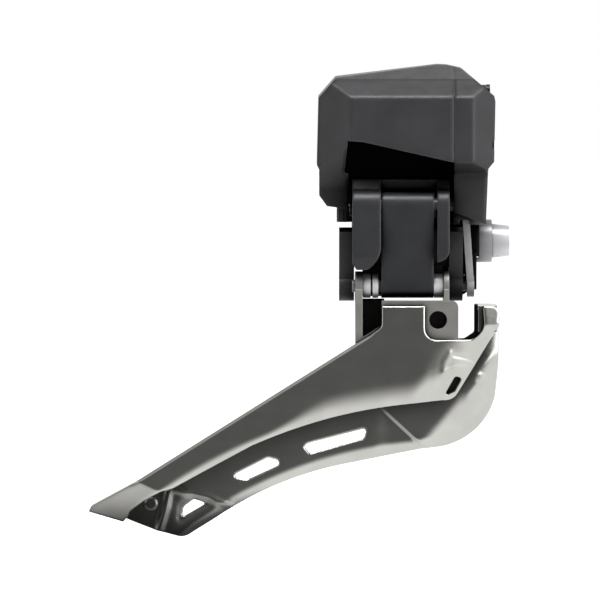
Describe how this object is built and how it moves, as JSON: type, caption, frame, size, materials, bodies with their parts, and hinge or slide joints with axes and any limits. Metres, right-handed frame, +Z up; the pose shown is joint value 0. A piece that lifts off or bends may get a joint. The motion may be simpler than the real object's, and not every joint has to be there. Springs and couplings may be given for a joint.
{
  "type": "front derailleur",
  "caption": "Motor-driven braze-on front derailleur: a parallelogram linkage under a faceted housing shifts a chain cage sideways.",
  "frame": {"origin": "fixing bolt axis where it meets the frame tab's face", "axes": "+X forward, +Z up along the seat tube, -Y outboard"},
  "size_m": [0.1053, 0.037, 0.1179],
  "materials": {
    "black_housing": "satin black, fine grain",
    "grey_link": "satin dark grey anodised",
    "link_light": "blasted mid grey",
    "plated_cage": "satin nickel plate",
    "zinc_steel": "bright zinc",
    "cast_lever": "cast, tumbled",
    "black_steel": "black oxide",
    "rubber_black": "matt",
    "board_green": "solder mask",
    "brass_gear": "machined",
    "bush_polymer": "dry bearing polymer",
    "plug_plastic": "moulded"
  },
  "bodies": {
    "base": {"housing_body": "black_housing", "front_cover": "black_housing", "cover_gasket": "rubber_black", "cover_screws": "black_steel", "base_bracket": "grey_link", "bracket_screws": "black_steel", "output_bushes": "bush_polymer", "upper_outer_pin": "zinc_steel", "motor_can": "zinc_steel", "motor_bush": "brass_gear", "gear_plate": "zinc_steel", "gear_spindles": "zinc_steel", "circuit_board": "board_green", "position_sensor": "plug_plastic", "port_socket": "plug_plastic"},
    "inner_arm": {"inner_link": "link_light", "output_shaft": "zinc_steel", "sector_gear": "zinc_steel", "drive_lever": "cast_lever", "lower_inner_pin": "zinc_steel", "shaft_clip": "black_steel"},
    "outer_arm": {"outer_link": "grey_link", "outer_link_bushes": "bush_polymer"},
    "cage": {"cage_bracket": "plated_cage", "outer_plate": "plated_cage", "inner_plate": "plated_cage", "front_bridge": "plated_cage", "lower_outer_pin": "zinc_steel", "pivot_washers": "zinc_steel", "neck_studs": "zinc_steel", "flange_rivets": "zinc_steel", "bridge_rivets": "zinc_steel", "tail_spacer": "zinc_steel", "tail_rivet": "zinc_steel"},
    "motor_rotor": {"motor_pinion": "brass_gear"},
    "gear_one": {"first_gear": "brass_gear"},
    "gear_two": {"second_gear": "zinc_steel"},
    "mount_bolt": {"fixing_bolt": "zinc_steel", "fixing_washer": "zinc_steel"},
    "support": {"support_bolt": "black_steel"},
    "plug": {"dummy_plug": "plug_plastic"}
  },
  "joints": [
    {"name": "shift", "type": "hinge", "parent": "base", "child": "inner_arm", "pos_m": [-0.018, -0.016, 0.0095], "axis": [-1, 0, 0], "range_deg": [0, 21]},
    {"name": "outer_arm_swing", "type": "hinge", "parent": "base", "child": "outer_arm", "pos_m": [-0.018, -0.027, 0.0102], "axis": [-1, 0, 0], "range_deg": [0, 21]},
    {"name": "cage_level", "type": "hinge", "parent": "inner_arm", "child": "cage", "pos_m": [-0.018, -0.0122, -0.0109], "axis": [-1, 0, 0], "range_deg": [-21, 0]},
    {"name": "second_gear_spin", "type": "hinge", "parent": "base", "child": "gear_two", "pos_m": [-0.003, -0.016, 0.0245], "axis": [-1, 0, 0], "range_deg": [-84, 0]},
    {"name": "first_gear_spin", "type": "hinge", "parent": "base", "child": "gear_one", "pos_m": [-0.005, -0.0099, 0.03139], "axis": [-1, 0, 0], "range_deg": [0, 302.4]},
    {"name": "motor_spin", "type": "hinge", "parent": "base", "child": "motor_rotor", "pos_m": [-0.005, -0.0193, 0.03481], "axis": [-1, 0, 0], "range_deg": [-1209.6, 0]},
    {"name": "bolt_back_out", "type": "slide", "parent": "base", "child": "mount_bolt", "axis": [1, 0, 0], "range_m": [0, 0.004]},
    {"name": "support_bolt_advance", "type": "slide", "parent": "base", "child": "support", "axis": [0, 1, 0], "range_m": [0, 0.003]},
    {"name": "plug_pull", "type": "slide", "parent": "base", "child": "plug", "axis": [0, 0, -1], "range_m": [0, 0.008]}
  ],
  "couplings": [
    {"joint": "outer_arm_swing", "follows": "shift", "ratio": 1},
    {"joint": "cage_level", "follows": "shift", "ratio": -1},
    {"joint": "second_gear_spin", "follows": "shift", "ratio": -4},
    {"joint": "first_gear_spin", "follows": "shift", "ratio": 14.4},
    {"joint": "motor_spin", "follows": "shift", "ratio": -57.6}
  ]
}
